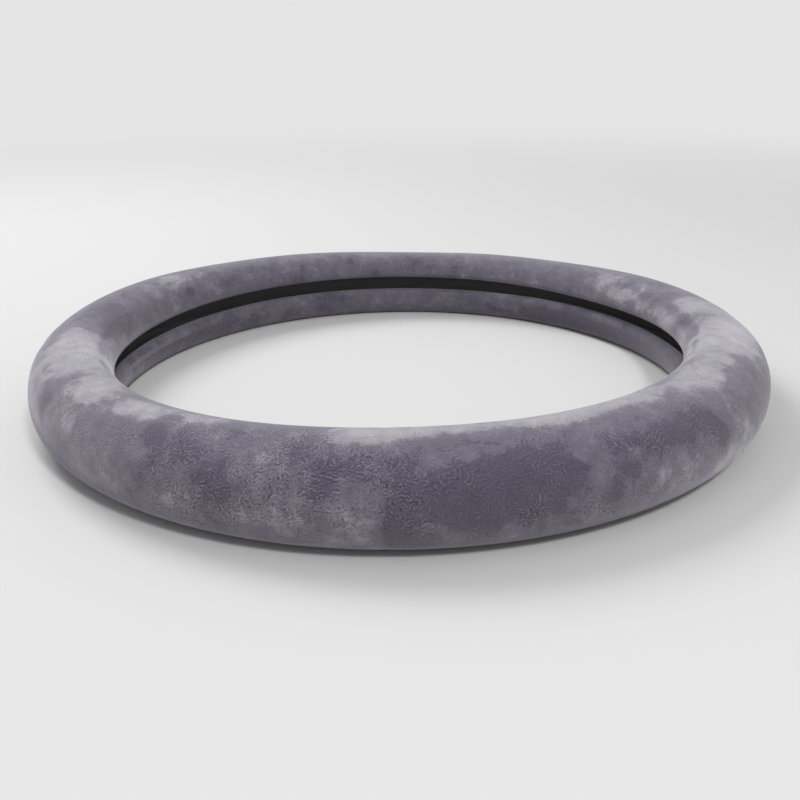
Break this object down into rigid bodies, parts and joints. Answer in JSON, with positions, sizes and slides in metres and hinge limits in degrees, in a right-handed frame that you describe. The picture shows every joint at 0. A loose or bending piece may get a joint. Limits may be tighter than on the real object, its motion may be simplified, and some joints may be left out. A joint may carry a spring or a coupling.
{
  "type": "steering wheel cover",
  "caption": "Slip-on steering wheel cover: a padded plush ring of C section, open towards the hub, on a soft rubber ring.",
  "frame": {"origin": "centre of the ring, on its axis, in the plane of the face it rests on", "axes": "+Z along the ring's axis, up when the cover lies flat; +Y away from the viewer of the picture, +X to the right"},
  "size_m": [0.39, 0.39, 0.044],
  "materials": {
    "plush": "short brushed plush pile, matt",
    "rubber": "matt moulded rubber"
  },
  "bodies": {
    "root": {"plush_sleeve": "plush", "rubber_ring": "rubber"}
  },
  "joints": []
}
